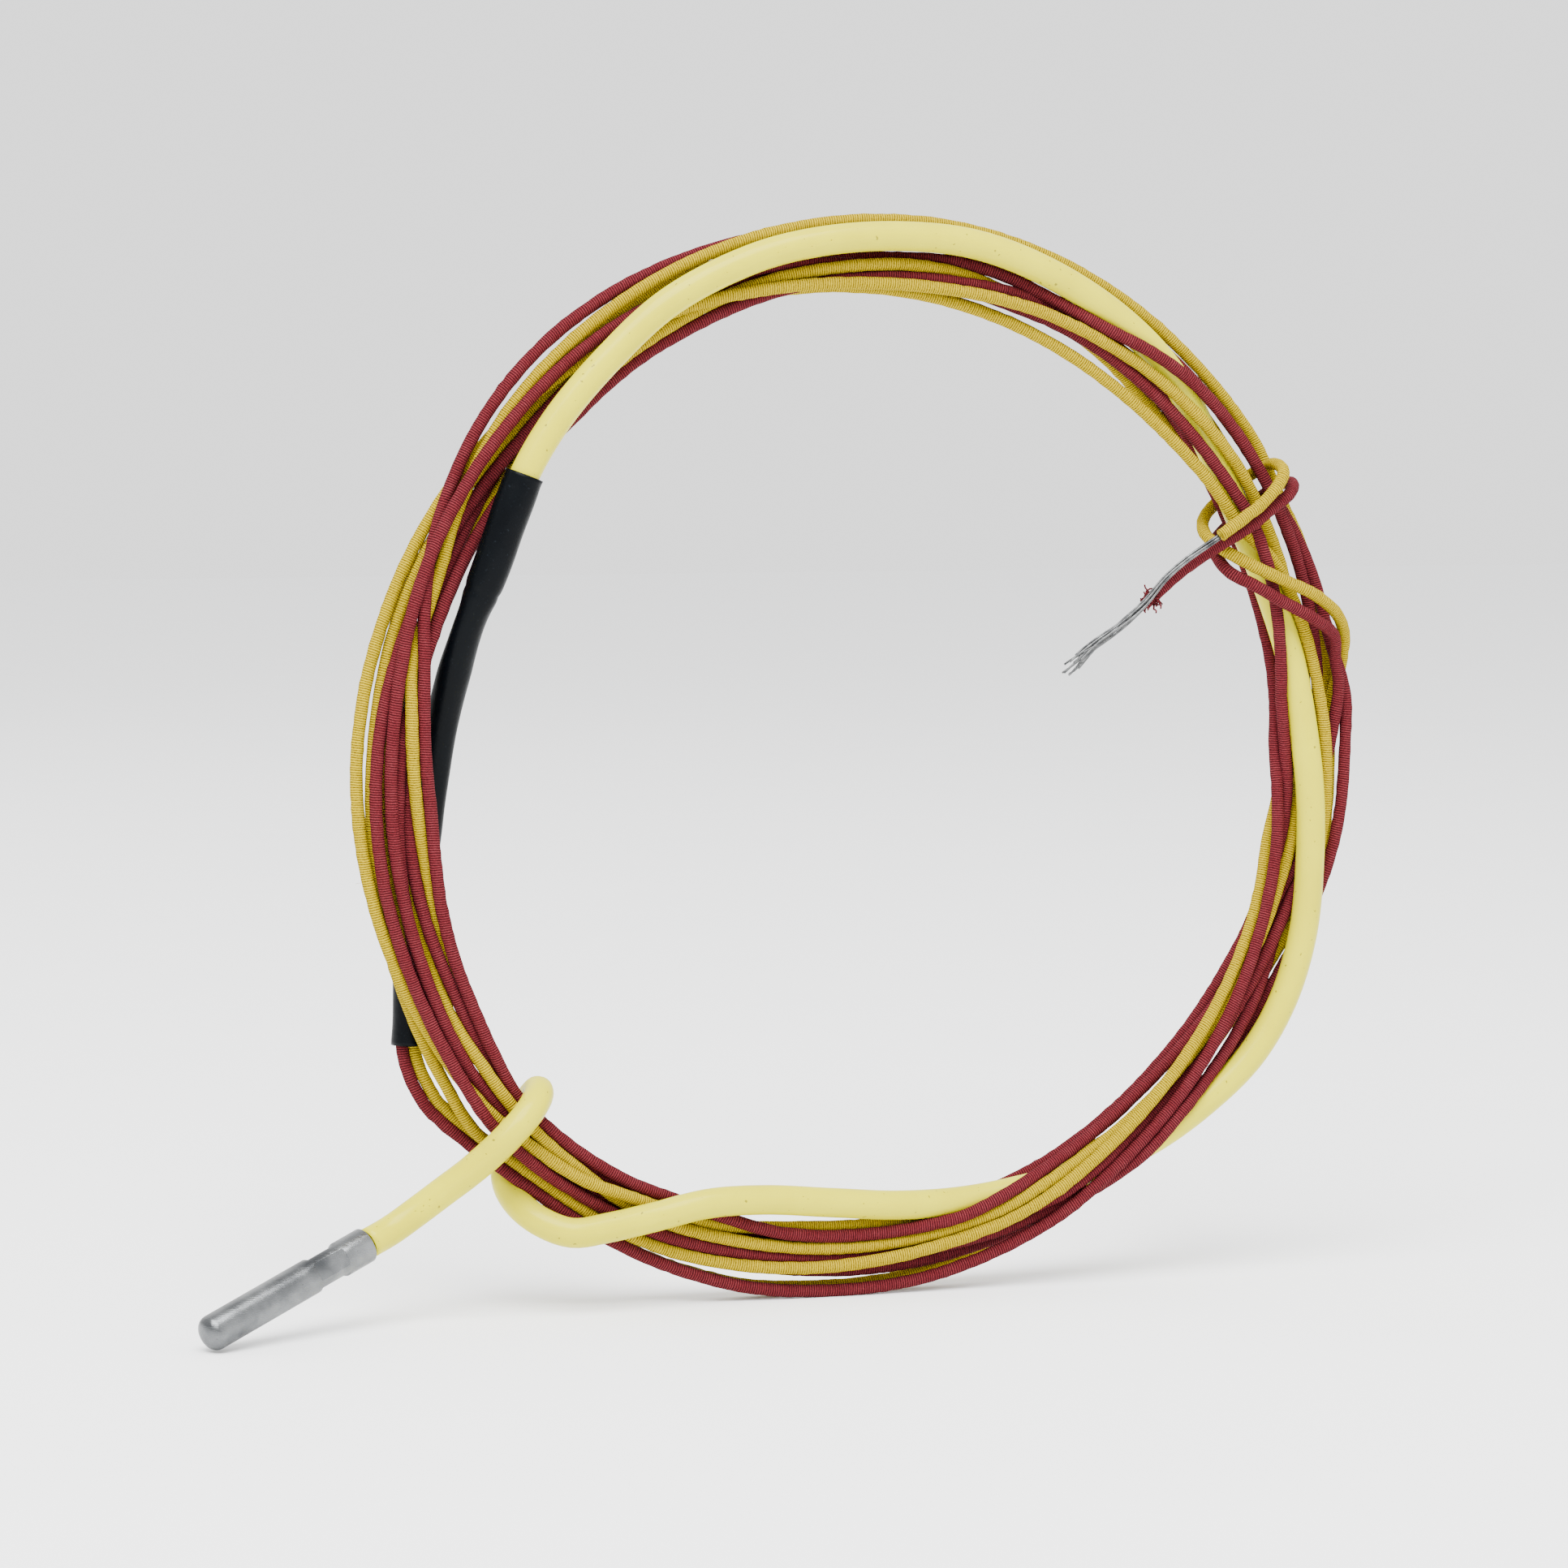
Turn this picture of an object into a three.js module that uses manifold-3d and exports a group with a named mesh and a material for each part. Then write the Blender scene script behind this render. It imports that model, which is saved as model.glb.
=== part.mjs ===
// A hand-wound thermocouple lead: a crimped steel probe, a length of sleeving, a heat-shrink joint cover,
// a pair of textile-covered leads wound into an upright coil, and bare stranded ends.
// Units are millimetres and +Z is up. The origin is under the top of the coil, where a hook or thread bears.
// The coil's axis is Y, and -Y is its front.
import * as THREE from 'three';
import { mergeVertices } from 'three/addons/utils/BufferGeometryUtils.js';
import Module from 'manifold-3d';

const wasm = await Module();
wasm.setup();

// ---------------------------------------------------------------- driving dimensions
const GAP = 0.3; // left between neighbouring solids
const GROOVE_GAP = 0.4; // around what lies in the coil's grooves, whose sides are few

const PROBE = {
  mouth: new THREE.Vector3(-73.35, -4.2, -131.1), // centre of the open end, where the sleeving goes in
  tip: new THREE.Vector3(-97.65, -14.45, -140.5), // the closed end points this way
  length: 28,
  radius: 2.5,
  wall: 0.35,
  tipFlat: 1.0, // radius of the small flat at the closed end
  tipRound: 1.5,
  collar: 4.2, // length of round tube left beyond the crimp
  crimp: 5.8, // length of the square crimp
  acrossFlats: 4.3,
  facets: 32,
};

const INSULATOR = { radius: 1.7, start: 4.2, length: 12.4, bore: 0.45, spacing: 0.75 };
const ELEMENT = { radius: 0.25, start: 3.5, end: 18.2 };
const BEAD = { radius: 0.7, centre: 2.5 };
const FILLER = { bottom: 0.7, top: 3.9, pocket: 1.05, pocketFloor: 1.4 };

const SLEEVING = { radius: 2.1, bore: 1.85, sides: 10 };
const SHRINK = { radius: 2.7, bore: 2.4, lowerRadius: 2.25, lowerBore: 1.9, sides: 12 };
const LEAD = { radius: 0.8, sides: 8 }; // textile-covered lead where it lies free
const PACKED_LEAD = { radius: 0.68, offset: 0.83 }; // the pair side by side inside sleeving and heat-shrink

const COIL = {
  centre: new THREE.Vector3(-0.1, 0, -65.9),
  longHalf: 72.4, // half the coil's mean height
  shortHalf: 67.7, // half the coil's mean width
  lean: 10, // degrees that the long axis leans clockwise, seen from the front
  width: 9, // of the wound section, along the radius
  depth: 4, // of the wound section, along the axis
  corner: 1.4,
  facets: 72,
};

const STRAND = { count: 7, radius: 0.15, sides: 6, pitch: 0.6 };

// ---------------------------------------------------------------- routes of the free stretches
const toVectors = (list) => list.map(([x, y, z]) => new THREE.Vector3(x, y, z));

// From the probe's mouth over the coil's front, round its inner edge and back under it, then once round
// the front of the coil.
const sleevingRoute = toVectors([
  [-73.08, -4.08, -131.0], [-69.4, -2.53, -129.57], [-65.9, -2.2, -127.4], [-62.2, -3.0, -124.6],
  [-58.2, -4.6, -121.3], [-54.0, -5.7, -117.4], [-50.6, -5.1, -114.1], [-48.4, -2.6, -112.1],
  [-47.5, 0.8, -111.6], [-47.9, 4.2, -113.6], [-49.3, 6.0, -117.4], [-50.8, 5.8, -121.6],
  [-51.2, 3.8, -125.0], [-50.3, 0.6, -127.5], [-47.9, -2.3, -129.6], [-44.0, -4.5, -131.0],
  [-38.5, -4.5, -130.5], [-32.0, -4.0, -129.5], [-24.0, -4.0, -128.0], [-15.5, -3.5, -128.0],
  [-5.5, -3.0, -129.0], [5.0, -2.5, -130.0], [15.5, -1.5, -130.0], [26.0, -1.5, -128.5],
  [35.5, -1.5, -126.0], [44.0, -2.0, -122.5], [52.0, -3.0, -117.0], [59.0, -3.5, -110.5],
  [64.0, -3.5, -102.5], [67.0, -3.5, -93.0], [68.0, -3.5, -83.0], [68.0, -3.5, -73.0],
  [67.0, -3.0, -63.0], [65.0, -2.5, -52.5], [61.5, -2.0, -42.0], [57.0, -2.0, -32.0],
  [52.0, -2.0, -21.5], [46.0, -2.5, -11.5], [38.0, -3.0, -4.0], [27.0, -3.5, 2.5], [15.5, -3.5, 6.5],
  [3.5, -3.5, 7.5], [-8.0, -3.5, 6.5], [-17.5, -3.5, 4.0], [-29.5, -4.0, -2.0], [-38.5, -4.0, -10.0],
  [-45.5, -4.0, -18.0], [-50.3, -4.2, -25.7], [-52.6, -3.9, -31.8], [-54.6, -3.3, -37.7],
  [-56.4, -2.3, -42.8],
]);

// The heat-shrink starts over the last of the sleeving, crosses behind the coil and ends at its outer edge.
const SLEEVING_IN_SHRINK = 3; // last spans of the sleeving's route that the heat-shrink covers
const shrinkRoute = toVectors([
  [-57.7, -1.0, -47.0], [-58.9, 1.2, -52.5], [-60.0, 3.6, -59.0], [-61.1, 5.0, -66.5],
  [-62.3, 5.5, -75.0], [-63.6, 5.6, -85.0], [-64.6, 5.5, -95.0], [-65.0, 5.2, -105.0],
]);

// The pair leaves the heat-shrink and turns in to the coil.
const leadInRoute = toVectors([
  [-64.9, 5.0, -105.6], [-64.4, 4.7, -108.2], [-63.2, 4.3, -111.0], [-61.3, 3.9, -114.0],
]);

const yellowTailRoute = toVectors([
  [73.0, 0.0, -58.6], [74.0, -0.5, -54.0], [73.7, -2.3, -49.8], [71.5, -4.8, -46.5],
  [67.0, -7.0, -43.5], [62.5, -7.3, -41.5], [57.5, -7.0, -39.3], [53.5, -5.4, -37.0],
  [51.8, -2.2, -34.8], [53.0, 1.6, -32.6], [56.2, 3.8, -30.0], [59.8, 3.2, -27.0],
  [61.9, 0.2, -25.0], [62.2, -3.6, -24.6], [61.8, -6.9, -25.7], [60.5, -8.0, -27.5],
  [58.0, -8.5, -30.0], [54.5, -8.6, -32.5], [51.3, -8.7, -34.7],
]);

const redTailRoute = toVectors([
  [72.9, -2.3, -57.6], [72.2, -2.7, -53.2], [71.0, -4.6, -49.5], [67.0, -7.0, -47.0],
  [61.5, -7.2, -44.2], [57.5, -7.0, -42.0], [54.0, -5.5, -40.0], [53.2, -2.5, -37.6],
  [54.9, 1.5, -35.6], [58.5, 3.9, -33.0], [62.4, 3.4, -29.7], [64.7, 0.6, -27.5],
  [64.9, -3.2, -27.4], [63.0, -6.0, -29.0], [60.0, -6.8, -31.0], [56.5, -7.0, -33.5],
  [53.0, -7.0, -35.5], [49.5, -7.0, -37.5], [45.5, -7.4, -40.0], [42.0, -7.6, -42.8], [40.0, -7.7, -44.4],
]);

const yellowStrandRoute = toVectors([
  [51.0, -8.75, -34.9], [46.0, -9.2, -38.0], [42.5, -9.5, -40.7], [39.3, -9.8, -44.0],
  [35.7, -9.9, -47.0], [32.0, -9.9, -49.7], [28.2, -9.9, -53.0],
]);

const redStrandRoute = toVectors([
  [39.8, -7.7, -44.7], [37.3, -7.8, -46.7], [34.3, -7.8, -49.0], [30.7, -7.8, -51.5],
  [27.5, -7.8, -54.0],
]);

// ---------------------------------------------------------------- shape helpers
// A smooth curve stepped evenly from point to point of its route, so tight bends get as many steps as they
// have route points.
class RouteCurve extends THREE.CatmullRomCurve3 {
  getPointAt(t, target) {
    return this.getPoint(t, target);
  }

  getTangentAt(t, target) {
    return this.getTangent(t, target);
  }
}

function disc(radius, sides, [x, y] = [0, 0]) {
  const shape = new THREE.Shape();
  for (let i = 0; i < sides; i++) {
    const angle = (2 * Math.PI * i) / sides;
    shape[i ? 'lineTo' : 'moveTo'](x + radius * Math.cos(angle), y + radius * Math.sin(angle));
  }
  shape.closePath();
  return shape;
}

function extrudeAlong(shape, route, stepsPerSpan) {
  return new THREE.ExtrudeGeometry(shape, {
    steps: (route.length - 1) * stepsPerSpan,
    extrudePath: new RouteCurve(route),
    bevelEnabled: false,
  });
}

function tube(route, radius, sides, { offset, stepsPerSpan = 1 } = {}) {
  return extrudeAlong(disc(radius, sides, offset), route, stepsPerSpan);
}

function toSolid(geometry) {
  const bare = geometry.index ? geometry.toNonIndexed() : geometry.clone();
  bare.deleteAttribute('normal');
  bare.deleteAttribute('uv');
  const merged = mergeVertices(bare, 1e-4);
  return new wasm.Manifold(
    new wasm.Mesh({
      numProp: 3,
      vertProperties: new Float32Array(merged.attributes.position.array),
      triVerts: new Uint32Array(merged.index.array),
    }),
  );
}

function toGeometry(solid) {
  const mesh = solid.getMesh();
  const geometry = new THREE.BufferGeometry();
  geometry.setAttribute('position', new THREE.BufferAttribute(mesh.vertProperties, 3));
  geometry.setIndex(new THREE.BufferAttribute(mesh.triVerts, 1));
  geometry.computeVertexNormals();
  return geometry;
}

// The route with its two ends pulled out by a distance, for a clearance that runs past what it clears.
function lengthened(route, distance) {
  const first = route[0].clone().sub(route[1]).setLength(distance).add(route[0]);
  const last = route.at(-1).clone().sub(route.at(-2)).setLength(distance).add(route.at(-1));
  return [first, ...route, last];
}

function lathe(profile, facets) {
  return new THREE.LatheGeometry(profile.map(([r, y]) => new THREE.Vector2(r, y)), facets);
}

// ---------------------------------------------------------------- materials
function finish(color, roughness, metalness) {
  return new THREE.MeshStandardMaterial({ color, roughness, metalness });
}
const steel = () => finish(0x9aa0a3, 0.35, 1);
const alloy = () => finish(0x9c9f9d, 0.4, 1);
const ceramic = () => finish(0xeeeae0, 0.6, 0);
const cement = () => finish(0xcfc8b8, 0.9, 0);
const sleeveCoat = () => finish(0xe8e487, 0.35, 0);
const blackShrink = () => finish(0x1a2228, 0.45, 0);
const yellowTextile = () => finish(0xd9b800, 0.85, 0);
const redTextile = () => finish(0x96343c, 0.85, 0);

const thermocouple = new THREE.Group();

function add(parent, name, geometry, material) {
  const mesh = new THREE.Mesh(geometry, material);
  mesh.name = name;
  parent.add(mesh);
  return mesh;
}

// ---------------------------------------------------------------- probe
// Built upright with its closed end at y = 0 and its mouth at y = length, then laid in its place.
function sheathGeometry() {
  const { length, radius, wall, tipFlat, tipRound, collar, crimp, acrossFlats, facets } = PROBE;
  const rim = [];
  const arcSteps = 5;
  const shoulder = radius - tipFlat;
  for (let i = 1; i <= arcSteps; i++) {
    const angle = (Math.PI / 2) * (i / arcSteps);
    rim.push([tipFlat + shoulder * Math.sin(angle), tipRound * (1 - Math.cos(angle))]);
  }
  const outside = toSolid(lathe([[0, 0], [tipFlat, 0], ...rim, [radius, length], [0, length]], facets));

  const crimpMiddle = length - collar - crimp / 2;
  const bevel = 0.8; // each flat runs out into the round over this length
  const half = acrossFlats / 2;
  let flats = null;
  for (let i = 0; i < 4; i++) {
    const outline = new THREE.Shape();
    outline.moveTo(half, -crimp / 2 + bevel);
    outline.lineTo(radius + 1, -crimp / 2 - bevel);
    outline.lineTo(radius + 1, crimp / 2 + bevel);
    outline.lineTo(half, crimp / 2 - bevel);
    outline.closePath();
    const cutter = new THREE.ExtrudeGeometry(outline, { depth: 2 * radius + 2, bevelEnabled: false });
    cutter.translate(0, crimpMiddle, -radius - 1);
    cutter.rotateY((Math.PI / 2) * i);
    flats = flats ? flats.add(toSolid(cutter)) : toSolid(cutter);
  }

  const bore = radius - wall;
  const neck = half - wall;
  const neckLow = length - collar - crimp;
  const neckHigh = length - collar;
  const inside = toSolid(
    lathe(
      [[0, wall], [tipFlat, wall], [bore, tipRound], [bore, neckLow - bevel], [neck, neckLow + bevel],
        [neck, neckHigh - bevel], [bore, neckHigh + bevel], [bore, length + 1], [0, length + 1]],
      facets,
    ),
  );
  return toGeometry(outside.subtract(flats).subtract(inside));
}

function insulatorGeometry() {
  const { radius, start, length, bore, spacing } = INSULATOR;
  const section = disc(radius, 20);
  for (const side of [-1, 1]) {
    section.holes.push(disc(bore, 8, [side * spacing, 0]));
  }
  const geometry = new THREE.ExtrudeGeometry(section, { depth: length, bevelEnabled: false });
  return geometry.rotateX(-Math.PI / 2).translate(0, start, 0);
}

function elementGeometry(side) {
  const { radius, start, end } = ELEMENT;
  const geometry = new THREE.CylinderGeometry(radius, radius, end - start, 8);
  return geometry.translate(side * INSULATOR.spacing, (start + end) / 2, 0);
}

function fillerGeometry() {
  const { bottom, top, pocket, pocketFloor } = FILLER;
  const outer = PROBE.radius - PROBE.wall - GAP;
  const chamfer = 0.9;
  return lathe(
    [[0, bottom], [outer - chamfer, bottom], [outer, bottom + chamfer], [outer, top], [pocket, top],
      [pocket, pocketFloor], [0, pocketFloor]],
    20,
  );
}

function addProbe() {
  const along = PROBE.mouth.clone().sub(PROBE.tip).normalize();
  const probe = new THREE.Group();
  probe.quaternion.setFromUnitVectors(new THREE.Vector3(0, 1, 0), along);
  probe.position.copy(PROBE.mouth).addScaledVector(along, -PROBE.length);
  thermocouple.add(probe);

  add(probe, 'probe_sheath', sheathGeometry(), steel());
  add(probe, 'twin_bore_insulator', insulatorGeometry(), ceramic());
  add(probe, 'positive_element', elementGeometry(-1), alloy());
  add(probe, 'negative_element', elementGeometry(1), alloy());
  const bead = new THREE.SphereGeometry(BEAD.radius, 12, 8).translate(0, BEAD.centre, 0);
  add(probe, 'junction_bead', bead, alloy());
  add(probe, 'tip_filler', fillerGeometry(), cement());
}

// ---------------------------------------------------------------- sleeving, heat-shrink and what runs inside
function addSleeving() {
  const section = disc(SLEEVING.radius, SLEEVING.sides);
  section.holes.push(disc(SLEEVING.bore, SLEEVING.sides));
  add(thermocouple, 'sleeving', extrudeAlong(section, sleevingRoute, 1), sleeveCoat());

  // Inside the probe the pair runs straight on for two more spans, so it shares the sleeving's steps.
  const [first, second] = sleevingRoute;
  const span = first.clone().sub(second);
  const pairRoute = [
    first.clone().addScaledVector(span, 2),
    first.clone().add(span),
    ...sleevingRoute,
  ];
  const { radius, offset } = PACKED_LEAD;
  const yellow = tube(pairRoute, radius, LEAD.sides, { offset: [offset, 0] });
  const red = tube(pairRoute, radius, LEAD.sides, { offset: [-offset, 0] });
  add(thermocouple, 'yellow_lead_in_sleeving', yellow, yellowTextile());
  add(thermocouple, 'red_lead_in_sleeving', red, redTextile());
}

function addHeatShrink() {
  const over = sleevingRoute.slice(-1 - SLEEVING_IN_SHRINK);
  const upper = toSolid(tube([...over, shrinkRoute[0]], SHRINK.radius, SHRINK.sides));
  const upperBore = toSolid(tube(lengthened(over, GAP), SHRINK.bore, SHRINK.sides));
  const lowerRoute = [over.at(-1), ...shrinkRoute];
  const lower = toSolid(tube(lowerRoute, SHRINK.lowerRadius, SHRINK.sides));
  const lowerBore = toSolid(tube(lengthened(lowerRoute, 1), SHRINK.lowerBore, SHRINK.sides));
  add(thermocouple, 'heat_shrink', toGeometry(upper.add(lower).subtract(upperBore).subtract(lowerBore)),
    blackShrink());

  const pairRoute = [...shrinkRoute, ...leadInRoute];
  const { radius, offset } = PACKED_LEAD;
  const yellow = tube(pairRoute, radius, LEAD.sides, { offset: [offset, 0] });
  const red = tube(pairRoute, radius, LEAD.sides, { offset: [-offset, 0] });
  add(thermocouple, 'yellow_lead_start', yellow, yellowTextile());
  add(thermocouple, 'red_lead_start', red, redTextile());
}

// ---------------------------------------------------------------- coil
function woundSection() {
  const { width, depth, corner, longHalf } = COIL;
  const points = [];
  const arcSteps = 3;
  for (let quarter = 0; quarter < 4; quarter++) {
    const sideR = quarter === 0 || quarter === 3 ? 1 : -1;
    const sideY = quarter < 2 ? 1 : -1;
    for (let i = 0; i <= arcSteps; i++) {
      const angle = (Math.PI / 2) * (quarter + i / arcSteps);
      points.push([
        longHalf + sideR * (width / 2 - corner) + corner * Math.cos(angle),
        sideY * (depth / 2 - corner) + corner * Math.sin(angle),
      ]);
    }
  }
  return [...points, points[0]];
}

function addCoil() {
  const ring = lathe(woundSection(), COIL.facets);
  ring.scale(COIL.shortHalf / COIL.longHalf, 1, 1);
  ring.rotateY(THREE.MathUtils.degToRad(COIL.lean));
  ring.translate(...COIL.centre.toArray());

  // What crosses the coil presses a groove in it.
  const crossings = [
    [sleevingRoute, SLEEVING.radius],
    [[...sleevingRoute.slice(-1 - SLEEVING_IN_SHRINK), ...shrinkRoute], SHRINK.radius],
    [leadInRoute, PACKED_LEAD.radius + PACKED_LEAD.offset],
    [yellowTailRoute, LEAD.radius],
    [redTailRoute, LEAD.radius],
  ];
  let solid = toSolid(ring);
  for (const [route, radius] of crossings) {
    solid = solid.subtract(toSolid(tube(lengthened(route, 2 * GAP), radius + GROOVE_GAP, LEAD.sides)));
  }
  add(thermocouple, 'lead_coil', toGeometry(solid), yellowTextile());
}

// ---------------------------------------------------------------- tails and bare strands
const strandAcross = new THREE.Vector3(-0.62, 0, 0.78); // square to the strands, in the coil's plane
const strandDepth = new THREE.Vector3(0, 1, 0);

function strandOffset(index) {
  if (index === 0) {
    return new THREE.Vector3();
  }
  const angle = (2 * Math.PI * index) / (STRAND.count - 1);
  return strandAcross.clone().multiplyScalar(STRAND.pitch * Math.cos(angle))
    .addScaledVector(strandDepth, STRAND.pitch * Math.sin(angle));
}

function addStrands(colour, route) {
  for (let i = 0; i < STRAND.count; i++) {
    const offset = strandOffset(i);
    const own = route.map((point) => point.clone().add(offset));
    add(thermocouple, `${colour}_strand_${i + 1}`, tube(own, STRAND.radius, STRAND.sides), alloy());
  }
}

addProbe();
addSleeving();
addHeatShrink();
addCoil();
add(thermocouple, 'yellow_lead_tail', tube(yellowTailRoute, LEAD.radius, LEAD.sides), yellowTextile());
add(thermocouple, 'red_lead_tail', tube(redTailRoute, LEAD.radius, LEAD.sides), redTextile());
addStrands('yellow', yellowStrandRoute);
addStrands('red', redStrandRoute);

export default thermocouple;
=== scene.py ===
import math

import bpy
import numpy as np
from mathutils import Matrix, Vector


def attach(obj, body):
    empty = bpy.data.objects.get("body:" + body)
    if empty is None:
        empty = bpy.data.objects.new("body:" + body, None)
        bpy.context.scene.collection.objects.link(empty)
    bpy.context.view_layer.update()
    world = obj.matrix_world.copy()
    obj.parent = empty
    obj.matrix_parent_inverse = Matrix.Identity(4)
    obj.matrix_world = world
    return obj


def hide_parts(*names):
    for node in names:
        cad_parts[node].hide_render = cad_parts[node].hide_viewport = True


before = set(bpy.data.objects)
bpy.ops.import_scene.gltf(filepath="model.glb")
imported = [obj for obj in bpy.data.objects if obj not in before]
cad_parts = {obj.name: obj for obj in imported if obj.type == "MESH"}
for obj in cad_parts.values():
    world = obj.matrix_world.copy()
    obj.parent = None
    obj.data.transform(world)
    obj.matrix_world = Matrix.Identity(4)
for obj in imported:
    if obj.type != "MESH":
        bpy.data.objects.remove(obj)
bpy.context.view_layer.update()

mm = 0.001


def deselectAll():
    for thing in list(bpy.context.selected_objects):
        thing.select_set(False)


deselectAll()

# The coil stands upright: its axis is Y, -Y is its front, and the floor is under the coil and the tip.
# The camera looks at its front from a little to the left and a little above.
view = {"azimuth": 18.0, "elevation": 4.5, "lens": 106.0, "place": (-0.2124, -0.6181, -0.0183)}


def viewAxes():
    azimuth, elevation = math.radians(view["azimuth"]), math.radians(view["elevation"])
    forward = Vector((math.sin(azimuth) * math.cos(elevation), math.cos(azimuth) * math.cos(elevation),
                      -math.sin(elevation)))
    right = Vector((math.cos(azimuth), -math.sin(azimuth), 0.0))
    return right, right.cross(forward), forward


def addCamera():
    right, up, forward = viewAxes()
    data = bpy.data.cameras.new("camera")
    data.lens = view["lens"]
    data.sensor_width = 36.0
    data.clip_start = 0.01
    camera = bpy.data.objects.new("camera", data)
    bpy.context.scene.collection.objects.link(camera)
    turn = Matrix((right, up, -forward)).transposed().to_4x4()
    camera.matrix_world = Matrix.Translation(view["place"]) @ turn
    bpy.context.scene.camera = camera


addCamera()
print("camera placed")


# Routes, with the same points as the CAD part
def inMetres(points):
    return np.array(points, dtype=float) * mm


sleevingRoute = inMetres([
    (-73.08, -4.08, -131.0), (-69.4, -2.53, -129.57), (-65.9, -2.2, -127.4), (-62.2, -3.0, -124.6),
    (-58.2, -4.6, -121.3), (-54.0, -5.7, -117.4), (-50.6, -5.1, -114.1), (-48.4, -2.6, -112.1),
    (-47.5, 0.8, -111.6), (-47.9, 4.2, -113.6), (-49.3, 6.0, -117.4), (-50.8, 5.8, -121.6),
    (-51.2, 3.8, -125.0), (-50.3, 0.6, -127.5), (-47.9, -2.3, -129.6), (-44.0, -4.5, -131.0),
    (-38.5, -4.5, -130.5), (-32.0, -4.0, -129.5), (-24.0, -4.0, -128.0), (-15.5, -3.5, -128.0),
    (-5.5, -3.0, -129.0), (5.0, -2.5, -130.0), (15.5, -1.5, -130.0), (26.0, -1.5, -128.5),
    (35.5, -1.5, -126.0), (44.0, -2.0, -122.5), (52.0, -3.0, -117.0), (59.0, -3.5, -110.5),
    (64.0, -3.5, -102.5), (67.0, -3.5, -93.0), (68.0, -3.5, -83.0), (68.0, -3.5, -73.0),
    (67.0, -3.0, -63.0), (65.0, -2.5, -52.5), (61.5, -2.0, -42.0), (57.0, -2.0, -32.0),
    (52.0, -2.0, -21.5), (46.0, -2.5, -11.5), (38.0, -3.0, -4.0), (27.0, -3.5, 2.5), (15.5, -3.5, 6.5),
    (3.5, -3.5, 7.5), (-8.0, -3.5, 6.5), (-17.5, -3.5, 4.0), (-29.5, -4.0, -2.0), (-38.5, -4.0, -10.0),
    (-45.5, -4.0, -18.0), (-50.3, -4.2, -25.7), (-52.6, -3.9, -31.8), (-54.6, -3.3, -37.7),
    (-56.4, -2.3, -42.8),
])
shrinkRoute = inMetres([
    (-57.7, -1.0, -47.0), (-58.9, 1.2, -52.5), (-60.0, 3.6, -59.0), (-61.1, 5.0, -66.5),
    (-62.3, 5.5, -75.0), (-63.6, 5.6, -85.0), (-64.6, 5.5, -95.0), (-65.0, 5.2, -105.0),
])
leadInRoute = inMetres([
    (-64.9, 5.0, -105.6), (-64.4, 4.7, -108.2), (-63.2, 4.3, -111.0), (-61.3, 3.9, -114.0),
])
yellowTailRoute = inMetres([
    (73.0, 0.0, -58.6), (74.0, -0.5, -54.0), (73.7, -2.3, -49.8), (71.5, -4.8, -46.5),
    (67.0, -7.0, -43.5), (62.5, -7.3, -41.5), (57.5, -7.0, -39.3), (53.5, -5.4, -37.0),
    (51.8, -2.2, -34.8), (53.0, 1.6, -32.6), (56.2, 3.8, -30.0), (59.8, 3.2, -27.0),
    (61.9, 0.2, -25.0), (62.2, -3.6, -24.6), (61.8, -6.9, -25.7), (60.5, -8.0, -27.5),
    (58.0, -8.5, -30.0), (54.5, -8.6, -32.5), (51.3, -8.7, -34.7),
])
redTailRoute = inMetres([
    (72.9, -2.3, -57.6), (72.2, -2.7, -53.2), (71.0, -4.6, -49.5), (67.0, -7.0, -47.0),
    (61.5, -7.2, -44.2), (57.5, -7.0, -42.0), (54.0, -5.5, -40.0), (53.2, -2.5, -37.6),
    (54.9, 1.5, -35.6), (58.5, 3.9, -33.0), (62.4, 3.4, -29.7), (64.7, 0.6, -27.5),
    (64.9, -3.2, -27.4), (63.0, -6.0, -29.0), (60.0, -6.8, -31.0), (56.5, -7.0, -33.5),
    (53.0, -7.0, -35.5), (49.5, -7.0, -37.5), (45.5, -7.4, -40.0), (42.0, -7.6, -42.8), (40.0, -7.7, -44.4),
])
yellowStrandRoute = inMetres([
    (51.0, -8.75, -34.9), (46.0, -9.2, -38.0), (42.5, -9.5, -40.7), (39.3, -9.8, -44.0),
    (35.7, -9.9, -47.0), (32.0, -9.9, -49.7), (28.2, -9.9, -53.0),
])
redStrandRoute = inMetres([
    (39.8, -7.7, -44.7), (37.3, -7.8, -46.7), (34.3, -7.8, -49.0), (30.7, -7.8, -51.5),
    (27.5, -7.8, -54.0),
])


# Curves and tubes
def smoothPath(points, spacing):
    # a cubic curve through the points, stepped evenly
    steps = np.linalg.norm(np.diff(points, axis=0), axis=1) ** 0.5
    knots = np.concatenate([[0.0], np.cumsum(steps)])
    slopes = np.gradient(points, knots, axis=0)
    dense = []
    for i in range(len(points) - 1):
        span = knots[i + 1] - knots[i]
        t = np.linspace(0, 1, 16, endpoint=i == len(points) - 2)[:, None]
        dense.append((2 * t**3 - 3 * t**2 + 1) * points[i] + (t**3 - 2 * t**2 + t) * span * slopes[i]
                     + (3 * t**2 - 2 * t**3) * points[i + 1] + (t**3 - t**2) * span * slopes[i + 1])
    return evenPath(np.concatenate(dense), spacing)


def pathLength(path):
    return float(np.linalg.norm(np.diff(path, axis=0), axis=1).sum())


def evenPath(path, spacing):
    along = np.concatenate([[0.0], np.cumsum(np.linalg.norm(np.diff(path, axis=0), axis=1))])
    marks = np.linspace(0, along[-1], max(3, round(along[-1] / spacing) + 1))
    return np.stack([np.interp(marks, along, path[:, axis]) for axis in range(3)], axis=1)


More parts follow.
